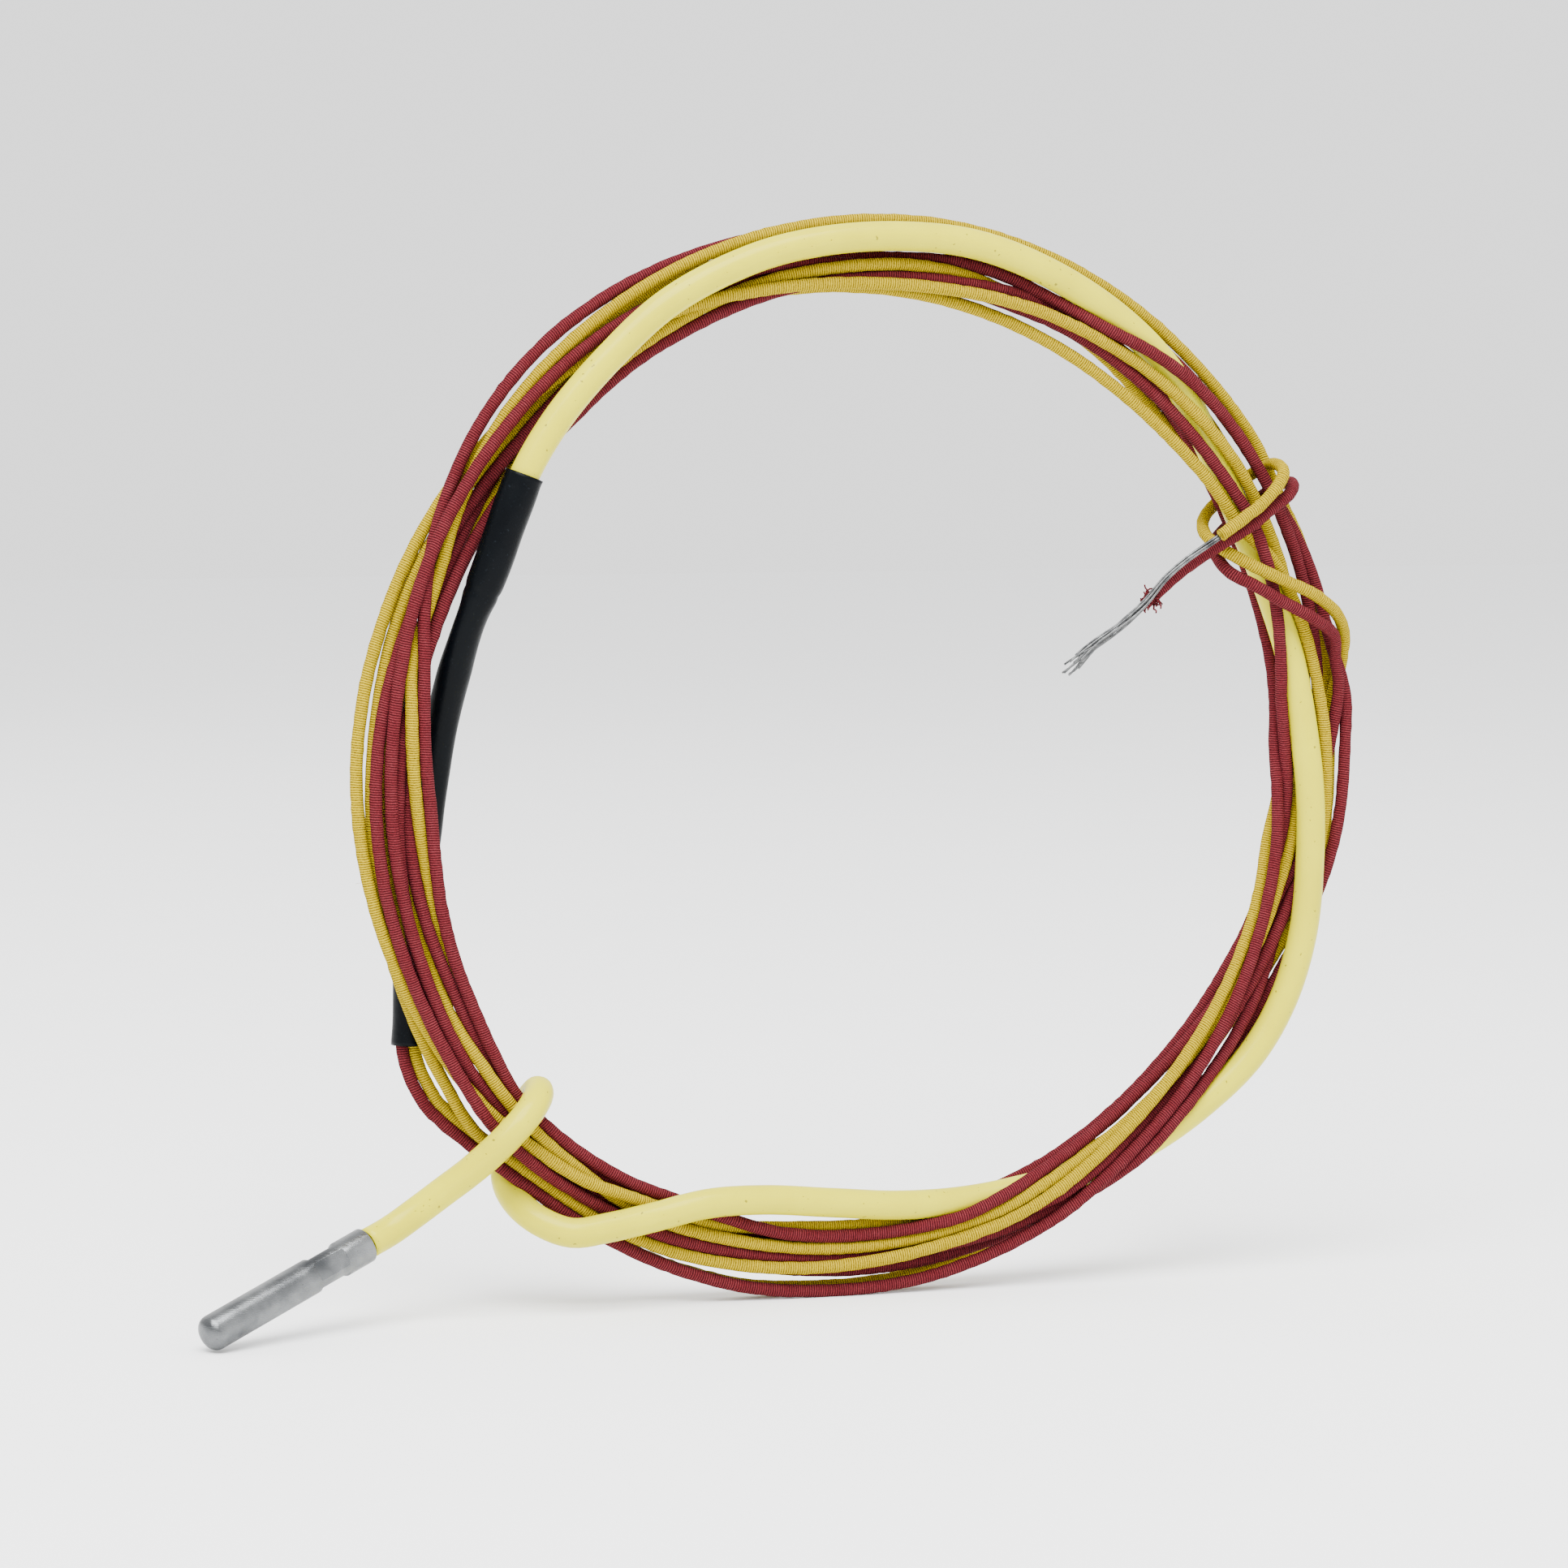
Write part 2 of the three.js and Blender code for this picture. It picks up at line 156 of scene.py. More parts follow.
def smoothed(values, passes):
    values = values.copy()
    for _ in range(passes):
        values[1:-1] = 0.5 * values[1:-1] + 0.25 * (values[:-2] + values[2:])
    return values


def unit(vectors):
    return vectors / np.linalg.norm(vectors, axis=-1, keepdims=True)


def sweepFrames(path):
    # two directions square to the path at each point, carried along without twisting
    tangents = unit(np.gradient(path, axis=0))
    start = np.array([0.0, -1.0, 0.0]) if abs(tangents[0][1]) < 0.9 else np.array([1.0, 0.0, 0.0])
    sides = np.empty_like(path)
    side = start
    for i, tangent in enumerate(tangents):
        side = side - tangent * side.dot(tangent)
        side = side / np.linalg.norm(side)
        sides[i] = side
    return sides, np.cross(tangents, sides)


def tubeParts(path, radius, sides, bore=None):
    # vertices, faces and UVs of a closed tube; radius and bore are one number, or one for each ring and side
    count = len(path)
    across, over = sweepFrames(path)
    angles = 2 * math.pi * np.arange(sides) / sides
    spokes = (across[:, None] * np.cos(angles)[None, :, None] + over[:, None] * np.sin(angles)[None, :, None])
    along = np.concatenate([[0.0], np.cumsum(np.linalg.norm(np.diff(path, axis=0), axis=1))])
    vertices, faces, marks = [], [], []

    def addWall(size, inward):
        first = sum(len(block) for block in vertices)
        size = np.broadcast_to(np.asarray(size, dtype=float), (count, sides))
        vertices.append((path[:, None] + spokes * size[:, :, None]).reshape(-1, 3))
        for i in range(count - 1):
            for j in range(sides):
                k = (j + 1) % sides
                corners = [(i, j), (i, k), (i + 1, k), (i + 1, j)]
                around = [j, j + 1, j + 1, j]
                uvs = [(a / sides, along[c[0]]) for a, c in zip(around, corners)]
                if inward:
                    corners, uvs = corners[::-1], uvs[::-1]
                faces.append([first + a * sides + b for a, b in corners])
                marks.append(uvs)
        return first

    outer = addWall(radius, False)
    last = (count - 1) * sides
    if bore is None:
        for ring, order, v in ((0, -1, along[0]), (last, 1, along[-1])):
            faces.append([outer + ring + j for j in range(sides)][::order])
            marks.append([(j / sides, v) for j in range(sides)])
    else:
        inner = addWall(bore, True)
        for ring, flip, v in ((0, True, along[0]), (last, False, along[-1])):
            for j in range(sides):
                k = (j + 1) % sides
                quad = [outer + ring + j, outer + ring + k, inner + ring + k, inner + ring + j]
                faces.append(quad[::-1] if flip else quad)
                marks.append([(j / sides, v)] * 4)
    return np.concatenate(vertices), faces, marks


def makePiece(name, parts, material):
    points, faces, marks, first = [], [], [], 0
    for vertices, ownFaces, ownMarks in parts:
        points.append(vertices)
        faces += [[first + index for index in face] for face in ownFaces]
        marks += [uv for face in ownMarks for uv in face]
        first += len(vertices)
    mesh = bpy.data.meshes.new(name)
    mesh.from_pydata(np.concatenate(points).tolist(), [], faces)
    mesh.uv_layers.new(name="alongPiece").data.foreach_set("uv", np.array(marks, dtype=float).ravel())
    mesh.materials.append(material)
    mesh.polygons.foreach_set("use_smooth", [len(face) == 4 for face in faces])
    mesh.update()
    piece = bpy.data.objects.new(name, mesh)
    bpy.context.scene.collection.objects.link(piece)
    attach(piece, "root")
    return piece


# The coil: a winding plan, and a loop that lays the turns and settles them on each other
coil = {
    "centre": (-0.1, -65.9), "longHalf": 72.4, "shortHalf": 67.7, "lean": 10.0,
    "leadDiameter": 1.8, "leadSides": 12, "lumps": 0.05, "spacing": 0.9, "floor": -142.7,
    "stations": 240, "start": 234.0, "end": 2151.0, "places": 8, "wander": 0.5, "evening": 60,
}
# How the turns find room: how strongly each thing moves a lead in one sweep, and how far the leads stay
# from the middles of the sleeving and the heat-shrink, in millimetres.
settle = {
    "sweeps": 360, "pull": 0.03, "pullUntil": 0.8, "smooth": 0.5, "smoothUntil": 0.9, "apart": 0.3,
    "aside": 0.7, "inPlane": 0.75, "passes": 2, "offSleeving": 3.05, "offShrink": 3.4,
}
# Each row is one turn. Its eight places are lower left, bottom, lower right, right, upper right, top,
# upper left and left, in lead diameters out from the mean turn, and then in lead diameters back, where -3
# passes over the sleeving.
yellowPlan = {
    "out": [
        (2.5, 0, -2, -1, -2, -2, -2.5, -0.5), (0, -1.5, -1.5, 1, -1, -3.5, 0, 3),
        (1.5, -3.5, 0, 2.5, -4.5, -3.5, 0, 1.5), (2.5, 2.5, 0.5, 3.5, 2.5, 2, 1, -2),
        (-1, -2.5, -2, 0.5, 1, 1, 0, 0.5), (1, -0.5, -0.5, 3, 3, 3, 3, 3),
    ],
    "back": [
        (0, -1.5, -3, 1, 1, -1, 1, 1), (-1, -1, -2.5, 1, -3, -1, 1, 0), (-1, -1, 1, -1, -3, 1, 1, 0),
        (1, 1, 1, 1, 0, -1, 0, -1), (1, 1, 1, 1, 1, 1, 1, 1), (1, 1, 1, 0, 0, 0, 0, 0),
    ],
}
redPlan = {
    "out": [
        (3, 2, -0.5, -2, -2, -2, -1.5, -1.5), (0, -2, -2.5, -1, -2.5, -1.5, 1, 0.5),
        (0.5, -1.5, -0.5, 2, 0.5, -1.5, -2, 2), (2, -1, 1, 1.5, -0.5, -3, -3, -0.5),
        (1.5, 1, 1.5, 3.5, 1.5, 1, 3, -3), (-1, -2.5, -2.5, 3, 3, 3, 3, 3),
    ],
    "back": [
        (0, -1, -3, -1, 1, 1, 1, 0), (-1, 1, 1, -1, -3, 1, -1, -1), (-1, 1, -2.5, 1, -3, 1, 1, -1),
        (-1, -1, -2.5, 1, 0, -1, 1, -1), (1, 0, -1, -1, 0, 1, 0, -1), (-1, -1, -1, 0, 0, 0, 0, 0),
    ],
}


def meanRadius(angle):
    lean = math.radians(coil["lean"])
    alongX, alongZ = np.cos(angle), np.sin(angle)
    onLong = (alongX * math.sin(lean) + alongZ * math.cos(lean)) / coil["longHalf"]
    onShort = (alongX * math.cos(lean) - alongZ * math.sin(lean)) / coil["shortHalf"]
    return 1 / np.sqrt(onLong**2 + onShort**2)


def plannedLane(plan, angles, seed):
    rows = np.array(plan["out"], dtype=float).ravel() * coil["leadDiameter"]
    backs = np.array(plan["back"], dtype=float).ravel() * coil["leadDiameter"]
    places = 225 + 360 / coil["places"] * np.arange(len(rows))
    rng = np.random.default_rng(seed)
    wander = np.zeros(len(angles))
    for waves in (5, 9, 14):
        wander += np.sin(np.radians(angles) * waves / 5.4 + rng.uniform(0, 6.28)) * coil["wander"] / 1.7
    lane = smoothed(np.interp(angles, places, rows), coil["evening"]) + wander
    depth = smoothed(np.interp(angles, places, backs), coil["evening"])
    return np.stack([meanRadius(np.radians(angles)) + lane, depth], axis=1)


def obstaclesAt(stationAngles, obstacles):
    # for each station, the nearby points of what crosses the coil, and how far to stay from each
    found = [[] for _ in stationAngles]
    for path, clearance in obstacles:
        flat = path[:, [0, 2]] / mm - np.array(coil["centre"])
        reach = np.hypot(flat[:, 0], flat[:, 1])
        bearing = np.degrees(np.arctan2(flat[:, 1], flat[:, 0]))
        for k, angle in enumerate(stationAngles):
            gap = np.radians((bearing - angle + 180) % 360 - 180) * reach
            for i in np.nonzero(np.abs(gap) < clearance)[0]:
                found[k].append((reach[i], path[i, 1] / mm, math.sqrt(clearance**2 - gap[i]**2)))
    most = max(len(row) for row in found)
    table = np.zeros((len(found), most, 3))
    table[:, :, 0] = 1e6
    for k, row in enumerate(found):
        if row:
            table[k, :len(row)] = row
    return table


def settleCoil(obstacles):
    stations, diameter = coil["stations"], coil["leadDiameter"]
    step = 360 / stations
    indices = np.arange(round(coil["start"] / step), round(coil["end"] / step) + 1)
    angles = indices * step
    aim = np.stack([plannedLane(yellowPlan, angles, 3), plannedLane(redPlan, angles, 8)])
    place = aim.copy()
    turn, station = indices // stations, indices % stations
    turns = turn.max() + 1
    table = obstaclesAt(np.arange(stations) * step, obstacles)
    for sweep in range(settle["sweeps"]):
        if sweep < settle["sweeps"] * settle["pullUntil"]:
            place += settle["pull"] * (aim - place)
        if sweep < settle["sweeps"] * settle["smoothUntil"]:
            for lead in place:
                lead[1:-1] += settle["smooth"] * (0.5 * (lead[:-2] + lead[2:]) - lead[1:-1])
        grid = np.full((stations, 2 * turns, 2), np.nan)
        for lead in range(2):
            grid[station, lead * turns + turn] = place[lead]
        delta = grid[:, :, None] - grid[:, None, :]
        apart = np.sqrt((delta**2).sum(axis=3)) + 1e-6
        overlap = np.where((apart < diameter) & (apart > 1e-5), diameter - apart, 0.0)
        push = np.nansum(delta / apart[..., None] * overlap[..., None] * settle["apart"], axis=2)
        away = grid[:, :, None] - table[:, None, :, :2]
        distance = np.sqrt((away**2).sum(axis=3)) + 1e-6
        short = np.where(distance < table[:, None, :, 2], table[:, None, :, 2] - distance, 0.0)
        short[np.isnan(short)] = 0.0
        deepest = np.nanargmax(short, axis=2)
        rows, columns = np.indices(deepest.shape)
        worst = short[rows, columns, deepest]
        aside = np.nan_to_num(away[rows, columns, deepest] / distance[rows, columns, deepest][..., None])
        push += aside * worst[..., None] * settle["aside"]
        push[:, :, 0] *= settle["inPlane"]
        for lead in range(2):
            place[lead] += push[station, lead * turns + turn]
    turned = np.radians(angles)
    paths = []
    for lead in place:
        x = coil["centre"][0] + lead[:, 0] * np.cos(turned)
        z = coil["centre"][1] + lead[:, 0] * np.sin(turned)
        z = np.maximum(z, coil["floor"] + coil["leadDiameter"] * 0.52)  # the lowest turns rest on the floor
        paths.append(np.stack([x, lead[:, 1], z], axis=1) * mm)
    return paths


# Materials
def paint(red, green, blue):
    def channel(value):
        value /= 255
        return value / 12.92 if value <= 0.04045 else ((value + 0.055) / 1.055) ** 2.4
    return (channel(red), channel(green), channel(blue), 1.0)


class Signal:
    # a node's output that can be used in sums
    def __init__(self, surface, socket):
        self.surface, self.socket = surface, socket

    def math(self, operation, first, second):
        return self.surface.node("ShaderNodeMath", {"operation": operation}, {0: first, 1: second})

    def __add__(self, other):
        return self.math("ADD", self, other)

    def __mul__(self, other):
        return self.math("MULTIPLY", self, other)

    __radd__ = __add__
    __rmul__ = __mul__

    def wave(self):
        # from 0 to 1, once for each 2 pi
        return self.math("SINE", self, 0.0) * 0.5 + 0.5


class Surface:
    def __init__(self, name, **steady):
        self.material = bpy.data.materials.new(name)
        self.material.use_nodes = True
        self.tree = self.material.node_tree
        self.tree.nodes.clear()
        self.shader = self.tree.nodes.new("ShaderNodeBsdfPrincipled")
        output = self.tree.nodes.new("ShaderNodeOutputMaterial")
        self.tree.links.new(self.shader.outputs[0], output.inputs[0])
        for socket, value in steady.items():
            self.shader.inputs[socket.replace("_", " ")].default_value = value

    def node(self, kind, settings, inputs, output=0):
        made = self.tree.nodes.new(kind)
        for key, value in settings.items():
            setattr(made, key, value)
        for key, value in inputs.items():
            self.plug(made.inputs[key], value)
        return Signal(self, made.outputs[output])

    def plug(self, socket, value):
        if isinstance(value, Signal):
            self.tree.links.new(value.socket, socket)
        else:
            socket.default_value = value

    def place(self):
        return self.node("ShaderNodeTexCoord", {}, {}, "Object")

    def along(self):
        # the piece's own UV map: round the piece, and metres along it
        uv = self.node("ShaderNodeUVMap", {"uv_map": "alongPiece"}, {})
        around = self.node("ShaderNodeSeparateXYZ", {}, {0: uv})
        return around, Signal(self, around.socket.node.outputs[1])

    def noise(self, scale, detail=3.0, stretch=None):
        where = self.place()
        if stretch:
            where = self.node("ShaderNodeMapping", {}, {0: where, "Scale": stretch})
        return self.node("ShaderNodeTexNoise", {}, {"Vector": where, "Scale": scale, "Detail": detail}, "Fac")

    def ramp(self, value, low, high):
        return self.node("ShaderNodeMapRange", {"clamp": True}, {0: value, 1: low, 2: high})

    def mix(self, factor, first, second):
        return self.node("ShaderNodeMix", {"data_type": "RGBA"}, {0: factor, 6: first, 7: second}, 2)

    def finish(self, color, roughness, height, depth):
        bump = self.node("ShaderNodeBump", {}, {"Height": height, "Distance": depth})
        self.plug(self.shader.inputs["Base Color"], color)
        self.plug(self.shader.inputs["Roughness"], roughness)
        self.plug(self.shader.inputs["Normal"], bump)
        return self.material


textile = {"rib": 0.00034, "lump": 0.00080, "ribDepth": 0.00013}


def textileMaterial(name, dark, body, light):
    # fine windings of yarn round the lead, leaning a little, with loose fibre between them; painted shade
    # darkens the grooves between the windings and a painted highlight lightens their crests
    surface = Surface(name, Specular_IOR_Level=0.06)
    around, along = surface.along()
    fuzz = surface.noise(5200, 4)
    patches = surface.noise(420, 2)
    turns = along * (2 * math.pi / textile["rib"]) + around * (2 * math.pi) + patches * 5
    ribs = turns.wave()
    lumps = (along * (2 * math.pi / textile["lump"]) + patches * 9).wave()
    # painted shade in the grooves between the yarn turns, darker where the ribs dip, blended with random
    # fibre tone from the fuzz
    grooveShadeAndFuzz = ribs * 0.45 + fuzz * 0.55
    ground = surface.mix(surface.ramp(grooveShadeAndFuzz, 0.2, 0.6), dark, body)
    # glint is a painted highlight: the rib crests and patches are lifted towards the light colour
    glint = surface.ramp(grooveShadeAndFuzz + patches * 0.25, 0.68, 0.95)
    color = surface.mix(glint * 0.6, ground, light)
    return surface.finish(color, 0.78 + fuzz * 0.15, ribs + fuzz * 0.9 + lumps * 0.6, textile["ribDepth"])


def sleevingMaterial():
    surface = Surface("lemonSleeving", Specular_IOR_Level=0.12, Coat_Weight=0.14, Coat_Roughness=0.16)
    cloud = surface.noise(130, 3)
    specks = surface.ramp(surface.noise(1500, 1), 0.745, 0.765)
    color = surface.mix(surface.ramp(cloud, 0.3, 0.7), paint(193, 184, 0), paint(202, 194, 0))
    color = surface.mix(specks * 0.7, color, paint(84, 74, 20))
    return surface.finish(color, 0.30 + cloud * 0.14, cloud + surface.noise(900, 2) * 0.15, 0.00012)


def shrinkMaterial():
    surface = Surface("blackShrink", Specular_IOR_Level=0.06)
    cloud = surface.noise(220, 4)
    dust = surface.ramp(surface.noise(2600, 2), 0.66, 0.74)
    color = surface.mix(cloud, paint(1, 2, 4), paint(4, 7, 10))
    color = surface.mix(dust * 0.35, color, paint(30, 36, 42))
    return surface.finish(color, 0.28 + cloud * 0.2, cloud + surface.noise(1400, 3) * 0.3, 0.00010)


def steelMaterial():
    surface = Surface("satinSteel", Metallic=1.0)
    scratches = surface.noise(900, 4, (1, 1, 14))
    smear = surface.noise(170, 3)
    pits = surface.ramp(surface.noise(3000, 2), 0.70, 0.78)
    color = surface.mix(surface.ramp(smear, 0.3, 0.7), paint(70, 72, 74), paint(128, 130, 131))
    color = surface.mix(pits * 0.5, color, paint(50, 50, 49))
    return surface.finish(color, 0.16 + scratches * 0.2, scratches + smear * 0.5, 0.00003)


def wireMaterial(name, tone):
    surface = Surface(name, Metallic=1.0)
    tarnish = surface.noise(700, 3)
    color = surface.mix(surface.ramp(tarnish, 0.35, 0.7), paint(*tone), paint(122, 123, 123))
    return surface.finish(color, 0.28 + tarnish * 0.25, surface.noise(5000, 2), 0.00002)


def grainMaterial(name, low, high, scale, roughness):
    surface = Surface(name)
    grain = surface.noise(scale, 5)
    color = surface.mix(grain, low, high)
    return surface.finish(color, roughness + grain * 0.15, grain, 0.00008)


# each textile: a darker colour for the painted shade in the grooves, the yarn's own colour, and a lighter
# colour for the painted highlight on the crests
yellowTextile = textileMaterial("yellowTextile", paint(88, 66, 0), paint(178, 152, 0), paint(206, 186, 0))
redTextile = textileMaterial("redTextile", paint(42, 8, 12), paint(94, 24, 31), paint(138, 62, 68))
lemonSleeving = sleevingMaterial()
blackShrink = shrinkMaterial()
satinSteel = steelMaterial()
strandWire = wireMaterial("strandWire", (64, 65, 66))
elementWire = wireMaterial("elementWire", (140, 140, 136))
nodeMaterials = {
    "twin_bore_insulator": grainMaterial("ceramic", paint(226, 220, 206), paint(242, 238, 228), 900, 0.5),
    "tip_filler": grainMaterial("cement", paint(188, 178, 158), paint(214, 206, 188), 1800, 0.85),
    "junction_bead": elementWire, "positive_element": elementWire, "negative_element": elementWire,
    "yellow_lead_in_sleeving": grainMaterial("packedYellow", paint(92, 72, 0), paint(180, 152, 0), 2400, 0.8),
    "red_lead_in_sleeving": grainMaterial("packedRed", paint(44, 6, 12), paint(112, 22, 34), 2400, 0.8),
}
for nodeName, material in nodeMaterials.items():
    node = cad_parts[nodeName]
    node.data.materials.clear()
    node.data.materials.append(material)
print("materials ready")


# Leads
def lumpyRadius(count, sides, base, amount, seed):
    rng = np.random.default_rng(seed)
    noise = rng.normal(size=(count, sides))
    noise = 0.5 * noise + 0.25 * (np.roll(noise, 1, axis=1) + np.roll(noise, -1, axis=1))
    return base * (1 + amount * noise)


def offsetStart(side):
    # the pair starts inside the heat-shrink, side by side
    inside = shrinkRoute[-1] + 0.4 * (shrinkRoute[-2] - shrinkRoute[-1])
    route = np.concatenate([[inside], shrinkRoute[-1:], leadInRoute[1:]])
    return route + np.array([0.45, 0.0, 0.2]) * side * coil["leadDiameter"] * mm


def leadPath(start, turns, tail):
    # the turns are thinned to one point in four, so that the curve through them runs smoothly into the ends
    return smoothPath(np.concatenate([start, turns[::4], tail]), coil["spacing"] * mm)


def endStretches(path, turns):
    # the way in from the heat-shrink and the way out to the cut end, which the turns have to leave room for
    half = len(path) // 2
    wayIn = np.linalg.norm(path[:half] - turns[0], axis=1).argmin()
    wayOut = half + np.linalg.norm(path[half:] - turns[::4][-1], axis=1).argmin()
    return [(path[:wayIn - 2], coil["leadDiameter"]), (path[wayOut + 3:], coil["leadDiameter"])]


shrinkOver = np.concatenate([sleevingRoute[-4:], shrinkRoute])
covers = [(smoothPath(sleevingRoute[2:], 0.8 * mm), settle["offSleeving"]),
          (smoothPath(shrinkOver, 0.8 * mm), settle["offShrink"])]
ends = [(smoothPath(route[3:], 0.8 * mm), coil["leadDiameter"]) for route in (yellowTailRoute, redTailRoute)]
for _ in range(settle["passes"]):
    yellowTurns, redTurns = settleCoil(covers + ends)
    yellowPath = leadPath(offsetStart(1), yellowTurns, yellowTailRoute)
    redPath = leadPath(offsetStart(-1), redTurns, redTailRoute)
    ends = endStretches(yellowPath, yellowTurns) + endStretches(redPath, redTurns)
bothLeads = (("yellowLead", yellowPath, yellowTextile, 1), ("redLead", redPath, redTextile, 2))
for name, path, material, seed in bothLeads:
    radius = lumpyRadius(len(path), coil["leadSides"], 0.5 * coil["leadDiameter"] * mm, coil["lumps"], seed)
    makePiece(name, [tubeParts(path, radius, coil["leadSides"])], material)
    print(name, "is", round(pathLength(path), 4), "m long")


# Sleeving, a hollow tube
sleeve = {"diameter": 4.2, "bore": 3.6, "sides": 24}
sleevePath = smoothPath(sleevingRoute, 1.0 * mm)
sleevingPiece = makePiece("sleevingTube", [tubeParts(
    sleevePath, sleeve["diameter"] * mm / 2, sleeve["sides"], sleeve["bore"] * mm / 2)], lemonSleeving)
print("sleeving is", round(pathLength(sleevePath), 4), "m long")


# Heat-shrink: wide over the sleeving, then drawn down on the pair of leads
shrink = {
    "upper": 2.72, "lower": 2.25, "ridge": 0.16, "rim": 0.12, "flare": 0.18, "crease": 0.14, "ripple": 0.16,
    "step": 17.0, "twist": 0.035, "upperWall": 0.42, "lowerWall": 0.35, "sides": 28,
}


def shrinkParts():
    path = smoothPath(shrinkOver, 0.5 * mm)
    count, sides = len(path), shrink["sides"]
    along = np.concatenate([[0.0], np.cumsum(np.linalg.norm(np.diff(path, axis=0), axis=1))]) / mm
    total = along[-1]
    down = 1 / (1 + np.exp(-(along - shrink["step"] - 1.5) / 0.9))
    radius = shrink["upper"] * (1 - down) + shrink["lower"] * down
    radius += shrink["rim"] * np.exp(-(along / 0.45) ** 2)
    radius += shrink["flare"] * np.exp(-((total - along) / 2.2) ** 2)
    # a crease where the sleeving stops inside
    radius -= shrink["crease"] * np.exp(-((along - shrink["step"]) / 0.5) ** 2)
    angles = 2 * math.pi * np.arange(sides) / sides
    twist = along * shrink["twist"]
    ridges = np.cos(2 * (angles[None, :] - twist[:, None])) * shrink["ridge"] * down[:, None]
    rng = np.random.default_rng(5)
    ripple = smoothed(rng.normal(size=(count, 1)), 30) * shrink["ripple"]
    outside = (radius[:, None] + ridges + ripple) * mm
    wall = np.where(down < 0.5, shrink["upperWall"], shrink["lowerWall"])[:, None] * mm
    return tubeParts(path, outside, sides, outside - wall)


shrinkPiece = makePiece("heatShrink", [shrinkParts()], blackShrink)
print("sleeving and heat-shrink made")


# Probe: a drawn steel sheath with a rounded closed end, a square crimp and an open collar
probe = {
    "mouth": (-73.35, -4.2, -131.1), "tip": (-97.65, -14.45, -140.5), "length": 28.0, "radius": 2.5,
    "wall": 0.35, "tipFlat": 1.0, "tipRound": 1.5, "collar": 4.2, "crimp": 5.8, "acrossFlats": 4.3,
    "neck": 1.8, "sides": 64,
}


def probeTurn():
    # takes a shape made upright, closed end at the origin, to where the probe lies
    along = (Vector(probe["mouth"]) - Vector(probe["tip"])).normalized()
    turn = Vector((0, 0, 1)).rotation_difference(along).to_matrix().to_4x4()
    return Matrix.Translation((Vector(probe["mouth"]) - along * probe["length"]) * mm) @ turn


def extrudeRing(rise, radius, wanted):
    # moves the selected cap up and brings it to a radius
    bpy.ops.mesh.extrude_region_move(TRANSFORM_OT_translate={"value": (0, 0, rise * mm)})
    factor = wanted / radius
    bpy.ops.transform.resize(value=(factor, factor, 1))
    return wanted


def addSheath():
    deselectAll()
    bpy.ops.mesh.primitive_circle_add(
        vertices=probe["sides"], radius=probe["tipFlat"] * mm, fill_type="NGON", location=(0, 0, 0))
    sheath = bpy.context.object
    sheath.name = "probeSheath"
    bpy.ops.object.mode_set(mode="EDIT")
    bpy.ops.mesh.select_all(action="SELECT")
    length, bore = probe["length"], probe["radius"] - probe["wall"]
    outline, shoulder = [], probe["radius"] - probe["tipFlat"]
    for i in range(1, 9):
        angle = math.pi / 2 * i / 8
        rise = probe["tipRound"] * (1 - math.cos(angle))
        outline.append((rise, probe["tipFlat"] + shoulder * math.sin(angle)))
    crimpLow, crimpHigh = length - probe["collar"] - probe["crimp"], length - probe["collar"]
    steps = [crimpLow - 1.2, crimpLow + 0.4, crimpHigh - 0.4, crimpHigh + 1.0]
    outline += [(z, probe["radius"]) for z in (8, 13, *steps, length - 0.12)]
    outline += [(length, probe["radius"] - 0.10)]
    outline += [(length, bore + 0.08), (length - 0.10, bore)]
    outline += [(crimpHigh + 0.8, bore), (crimpHigh - 0.8, probe["neck"])]
    outline += [(crimpLow + 0.8, probe["neck"]), (crimpLow - 0.8, bore)]
    outline += [(probe["tipRound"], bore), (probe["wall"], probe["tipFlat"])]
    level, radius = 0.0, probe["tipFlat"]
    for z, wanted in outline:
        radius = extrudeRing(z - level, radius, wanted)
        level = z
    bpy.ops.mesh.select_all(action="SELECT")
    bpy.ops.mesh.normals_make_consistent(inside=False)
    bpy.ops.object.mode_set(mode="OBJECT")
    return sheath


def pressFlats(sheath):
    # four blocks with sloping ends take the flats off the crimp
    middle = probe["length"] - probe["collar"] - probe["crimp"] / 2
    for quarter in range(4):
        deselectAll()
        bpy.ops.mesh.primitive_cube_add(size=1, location=(0, 0, 0))
        block = bpy.context.object
        block.scale = (2 * mm, 9 * mm, (probe["crimp"] + 0.9) * mm)
        bpy.ops.object.transform_apply(location=False, rotation=False, scale=True)
        for vertex in block.data.vertices:
            if vertex.co.x < 0:
                vertex.co.z *= 1 - 1.8 / (probe["crimp"] + 0.9)
        reach = Matrix.Translation((((probe["acrossFlats"] / 2) + 1.0) * mm, 0, middle * mm))
        block.data.transform(Matrix.Rotation(math.pi / 2 * quarter, 4, "Z") @ reach)
        deselectAll()
        sheath.select_set(True)
        bpy.context.view_layer.objects.active = sheath
        cut = sheath.modifiers.new("flat", "BOOLEAN")
        cut.operation, cut.object, cut.solver = "DIFFERENCE", block, "EXACT"
        bpy.ops.object.modifier_apply(modifier=cut.name)
        bpy.data.objects.remove(block)


def finishSheath(sheath):
    edge = sheath.modifiers.new("edge", "BEVEL")
    edge.width, edge.segments, edge.limit_method, edge.angle_limit = 0.16 * mm, 3, "ANGLE", math.radians(16)
    bpy.ops.object.modifier_apply(modifier=edge.name)
    sheath.data.transform(probeTurn())
    sheath.data.materials.append(satinSteel)
    bpy.ops.object.shade_smooth_by_angle(angle=math.radians(40))
    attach(sheath, "root")


sheathPiece = addSheath()
pressFlats(sheathPiece)
finishSheath(sheathPiece)
print("probe made")


# Bare strands, untwisted and combed out a little at their ends
strands = {"count": 7, "diameter": 0.30, "pitch": 0.33, "twist": 1.3, "splay": 1.1, "wave": 0.24, "sides": 10}


